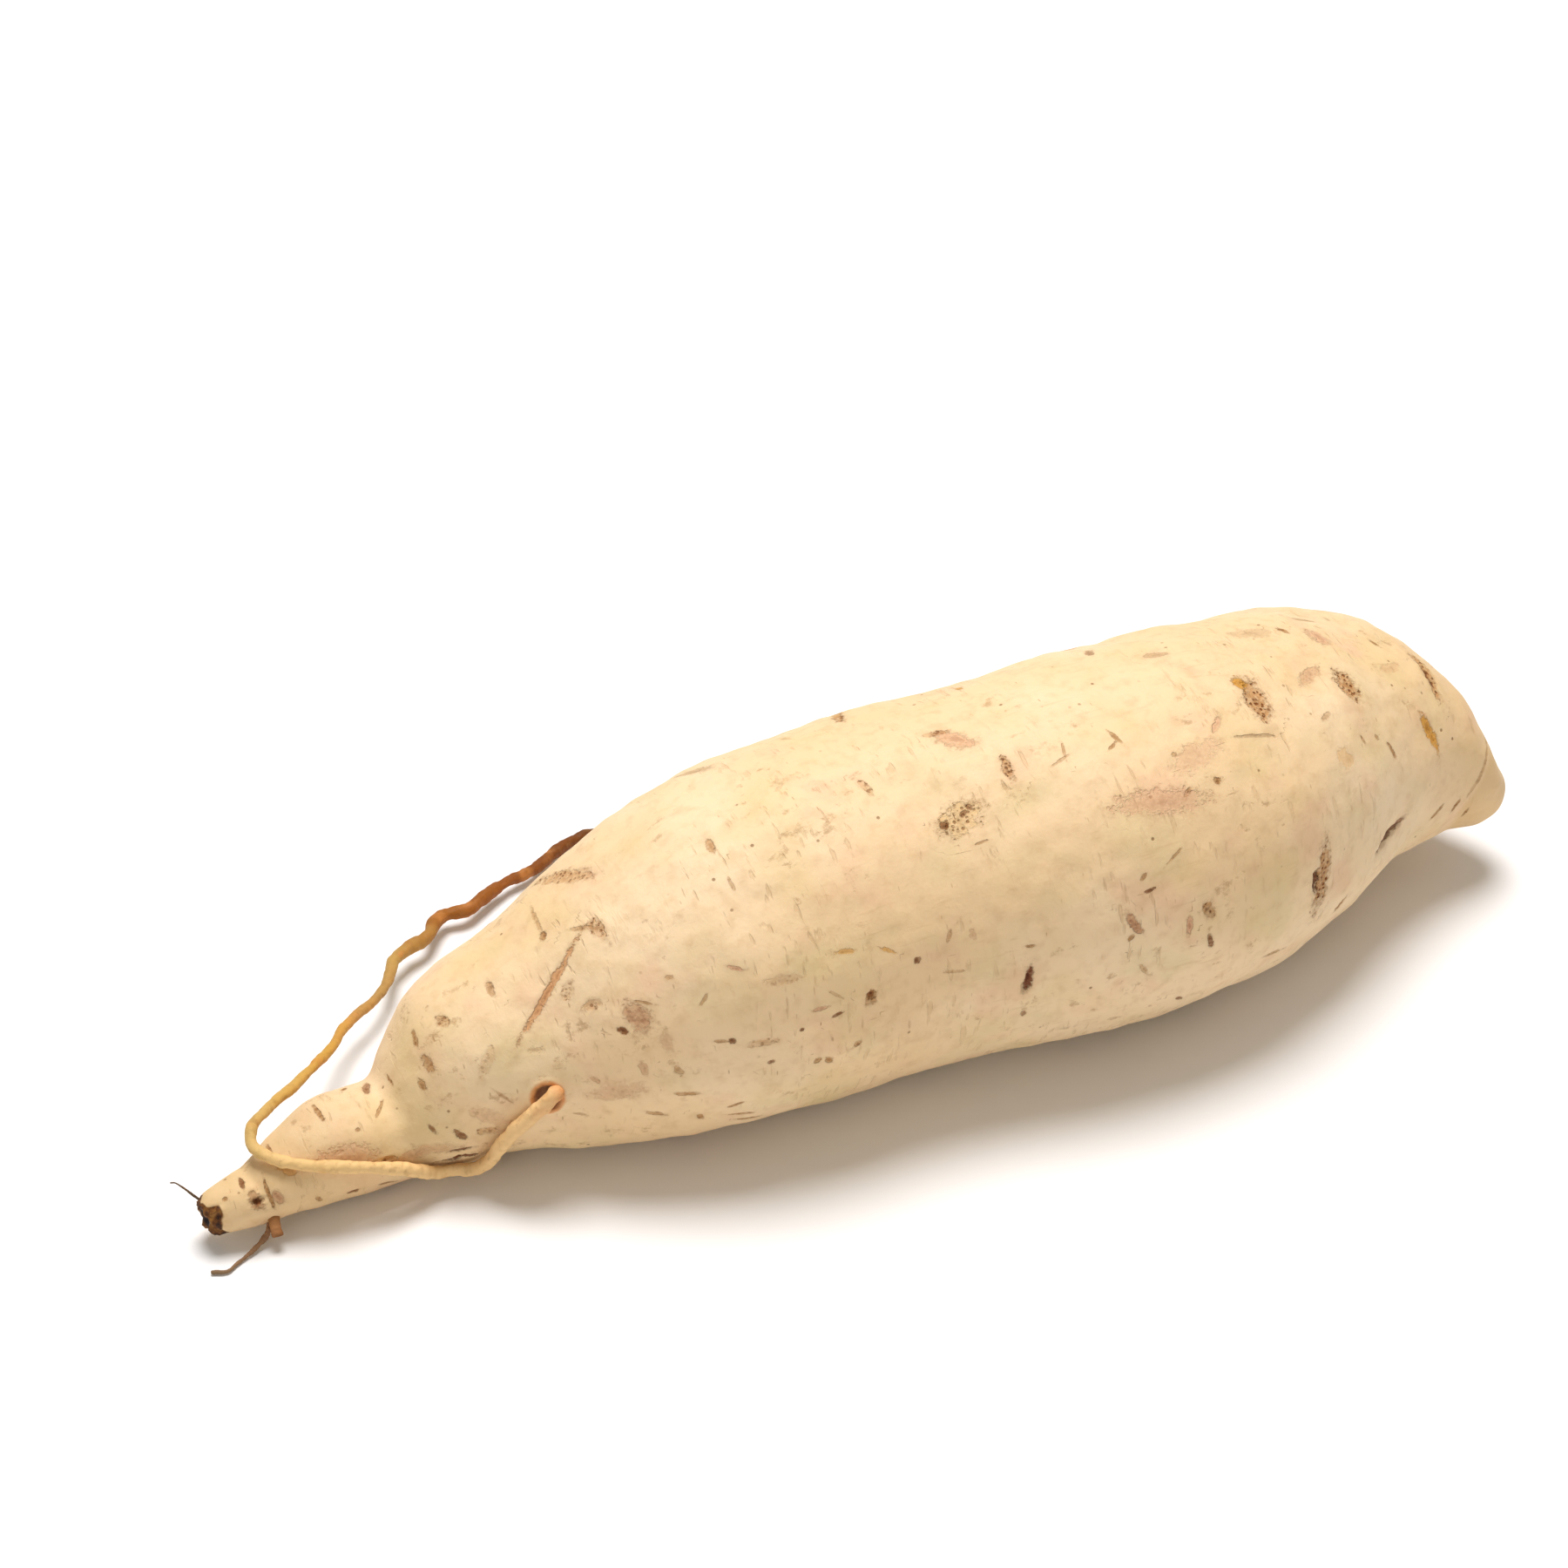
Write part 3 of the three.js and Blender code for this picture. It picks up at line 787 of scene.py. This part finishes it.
def tuber_finish(layer_count):
    f = Finish("tuber_skin")
    torn, ends, socket, hollow = weather_and_shade_of(f)
    cloud = f.noise(30, 3, (1.5, 1, 1))
    drift = f.noise(13, 3, (1.2, 1, 1))
    fine = f.noise(2.2, 4)
    grit = f.noise(0.7, 3)
    colour = f.mix(cloud.step(0.36, 0.66), CREAM, PALE)
    colour = f.mix(drift.step(0.50, 0.78) * 0.5, colour, STRAW)
    colour = f.mix(f.noise(9, 3).step(0.52, 0.72) * 0.55, colour, BLUSH)
    colour = f.mix(f.noise(11, 3, (1.3, 1, 1)).step(0.48, 0.70) * 0.34, colour, OLIVE)
    colour = f.mix(fine.step(0.45, 0.78) * 0.26, colour, SHADE_TAN)
    colour = f.mix(ends * (0.35 + 0.6 * drift), colour, END_TAN)

    # Faint short creases across the root, scuffed patches, and stray brown specks.
    creases = f.noise(2.6, 2, (0.35, 1.6, 1.6)).step(0.60, 0.72) * f.noise(17, 2).step(0.42, 0.60)
    colour = f.mix(creases * 0.27, colour, SHADE_TAN)
    fibres = f.noise(1.7, 2, (5.0, 0.5, 0.5)).step(0.60, 0.74) * f.noise(21, 2).step(0.46, 0.62)
    colour = f.mix(fibres * 0.20, colour, SHADE_TAN)
    scuffs = f.noise(3.2, 5, (1.3, 1, 1), 0.68).step(0.58, 0.70) * f.noise(27, 2).step(0.47, 0.58)
    colour = f.mix(scuffs * 0.55, colour, (0.44, 0.25, 0.11))
    specks = f.cells(3.9).step(0.095, 0.04) * f.noise(15, 2).step(0.44, 0.58)
    colour = f.mix(specks * 0.75, colour, (0.24, 0.11, 0.035))
    dashes = f.cells(6.3, (0.28, 1, 1)).step(0.085, 0.05) * f.noise(3.0, 2).step(0.40, 0.60)
    colour = f.mix(dashes * 0.42, colour, (0.30, 0.14, 0.05))

    height = fine * 0.6 + grit * 0.3 - creases * 0.6 - scuffs * 0.3 - specks * 0.4
    rough = 0.50 + 0.12 * fine
    ragged = f.noise(1.3, 3, (1, 1, 1), 0.6)
    torn_edge = f.noise(0.5, 3, (1, 1, 1), 0.65)
    patchy = 0.50 + 0.50 * f.noise(0.9, 3).step(0.36, 0.58)
    dots = f.cells(0.74)
    marked = None
    for index in range(layer_count):
        along, across, near = f.parts(f.attribute(f"mark_{index}").outputs["Vector"])
        tone = f.attribute(f"tone_{index}")
        dotted = Value(f, tone.outputs["Alpha"])
        edge = f.length(along, across) + (ragged - 0.5) * 1.7 + (torn_edge - 0.5) * 0.9
        fill = (patchy + 0.4 - 0.4 * dotted).least(1.0)
        cover = edge.step(1.08, 0.70) * near * fill
        deep = edge.step(0.80, 0.1) * near
        rim = edge.step(1.35, 1.0) * edge.step(0.60, 0.95) * near
        holes = dots.step(0.44, 0.27) * cover
        colour = f.mix(edge.step(2.3, 0.8) * near * 0.13, colour, SHADE_TAN)
        colour = f.mix(cover * (0.92 - 0.27 * dotted), colour, tone.outputs["Color"])
        dark = f.mix(1.0, tone.outputs["Color"], (0.42, 0.30, 0.24), "MULTIPLY")
        colour = f.mix(holes * dotted * 0.95, colour, dark)
        colour = f.mix(rim * 0.20, colour, dark)
        colour = f.mix(deep * (0.62 - 0.30 * dotted) * patchy, colour, dark)
        height = height - cover * 0.9 - holes * dotted * 0.8
        marked = cover if marked is None else marked.most(cover)

    socket = socket + (ragged - 0.5) * 0.7 * socket
    rust = f.mix(socket.step(0.45, 0.95), (0.72, 0.30, 0.09), (0.24, 0.065, 0.015))
    colour = f.mix(socket.step(0.15, 0.5) * (0.5 + 0.6 * ragged), colour, rust)
    bark = f.ramp(ragged, [(0.35, (0.030, 0.012, 0.006)), (0.52, (0.15, 0.055, 0.014)), (0.7, (0.32, 0.15, 0.035))])
    colour = f.mix(torn.step(0.35, 0.75), colour, bark)
    # Painted shade: the hollow of the torn end is darkened to near black.
    colour = f.mix(hollow.step(0.15, 0.6), colour, (0.018, 0.008, 0.007))
    f.shade(Base_Color=colour, Roughness=rough + marked * 0.25, Normal=f.bump(height, 0.20))
    f.shade(Specular_IOR_Level=0.16)
    f.shade(Subsurface_Weight=0.08, Subsurface_Radius=(1.0, 0.5, 0.25), Subsurface_Scale=0.0008)
    return f.material


def weather_and_shade_of(f):
    weather_and_shade = f.attribute("weather_and_shade")
    return [*f.parts(weather_and_shade.outputs["Vector"]), Value(f, weather_and_shade.outputs["Alpha"])]


def root_finish(name, stops, blotch, ring_size, gloss):
    """A thin root's skin: stops give its colour along its length; blotch is the colour of its stains."""
    f = Finish(name)
    share, length, _ = f.parts(f.attribute("along").outputs["Vector"])
    ragged = f.noise(1.6, 4, (1, 1, 1), 0.6)
    patches = f.noise(6, 3)
    colour = f.ramp(share + (patches - 0.5) * 0.10, stops)
    colour = f.mix(patches.step(0.55, 0.70) * 0.55, colour, blotch)
    colour = f.mix(ragged.step(0.52, 0.75) * 0.40, colour, (0.30, 0.15, 0.05))
    rings_round = (length * (TURN / ring_size) + ragged * 9).sine()
    height = ragged * 0.7 + rings_round * 0.14
    f.shade(Base_Color=colour, Roughness=gloss + ragged * 0.2, Normal=f.bump(height, 0.22))
    f.shade(Specular_IOR_Level=0.2)
    return f.material


# Colour along the side root: tan out of its socket, ochre and orange further on, then dark brown from about two
# thirds along, where it lies low behind the tuber. That dark brown is mostly painted shade and partly the root's own
# browner tone.
SIDE_ROOT_TONE_AND_SHADE_STOPS = [
    (0.0, (0.72, 0.34, 0.13)), (0.03, (0.86, 0.57, 0.27)), (0.20, (0.84, 0.56, 0.25)), (0.27, (0.80, 0.53, 0.22)),
    (0.31, (0.62, 0.41, 0.14)), (0.38, (0.62, 0.37, 0.09)), (0.45, (0.60, 0.33, 0.06)), (0.49, (0.60, 0.30, 0.07)),
    (0.53, (0.46, 0.26, 0.08)), (0.59, (0.50, 0.30, 0.08)), (0.64, (0.34, 0.13, 0.020)), (0.72, (0.28, 0.085, 0.012)),
    (0.79, (0.19, 0.058, 0.009)), (0.86, (0.10, 0.038, 0.012)), (1.0, (0.10, 0.038, 0.014)),
]


def finish_piece(piece, material, node):
    piece.data.materials.append(material)
    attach(piece, "root")
    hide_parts(node)


finish_piece(tuber, tuber_finish(len(layers)), "tuber")
finish_piece(
    side_root, root_finish("side_root_skin", SIDE_ROOT_TONE_AND_SHADE_STOPS, (0.66, 0.27, 0.07), 1.7, 0.50), "side_root"
)
finish_piece(
    rootlet,
    root_finish("dry_rootlet", [(0.0, (0.30, 0.15, 0.07)), (1.0, (0.24, 0.15, 0.08))], (0.20, 0.10, 0.05), 0.8, 0.6),
    "rootlet",
)
finish_piece(
    root_stub,
    root_finish("broken_rootlet", [(0.0, (0.26, 0.11, 0.03)), (0.6, (0.42, 0.19, 0.07)), (1.0, (0.22, 0.09, 0.03))],
                (0.42, 0.20, 0.08), 0.9, 0.6),
    "root_stub",
)
finish_piece(
    neck_hair,
    root_finish("dark_hair", [(0.0, (0.10, 0.06, 0.03)), (1.0, (0.16, 0.10, 0.06))], (0.05, 0.03, 0.02), 0.6, 0.6),
    "neck_hair",
)


# ---- stage and light --------------------------------------------------------------------------------------
def lay_floor():
    half = 6.0
    mesh = bpy.data.meshes.new("floor")
    mesh.from_pydata([(-half, -half, 0), (half, -half, 0), (half, half, 0), (-half, half, 0)], [], [(0, 1, 2, 3)])
    floor = bpy.data.objects.new("floor", mesh)
    bpy.context.scene.collection.objects.link(floor)
    f = Finish("floor")
    f.shade(Base_Color=(0.93, 0.93, 0.93), Roughness=0.9)
    mesh.materials.append(f.material)


def add_softbox(name, place, aim, size, power, colour):
    light = bpy.data.objects.new(name, bpy.data.lights.new(name, "AREA"))
    light.data.shape = "DISK"
    light.data.size = size
    light.data.energy = power
    light.data.color = colour
    light.location = place
    way = Vector(aim) - Vector(place)
    light.rotation_euler = way.to_track_quat("-Z", "Y").to_euler()
    bpy.context.scene.collection.objects.link(light)


def light_scene():
    world = bpy.data.worlds.new("studio")
    bpy.context.scene.world = world
    world.use_nodes = True
    world.node_tree.nodes["Background"].inputs["Color"].default_value = (1.0, 0.945, 0.86, 1)
    world.node_tree.nodes["Background"].inputs["Strength"].default_value = 0.34
    add_softbox("key", (0.09, 0.27, 1.3), (0, 0, 0), 0.7, 18.0, (1.0, 0.98, 0.985))
    add_softbox("fill", (-1.0, -0.9, 0.7), (0, 0, 0.03), 0.8, 1.5, (1.0, 0.97, 0.92))
    bpy.context.scene.view_settings.view_transform = "Standard"


lay_floor()
light_scene()
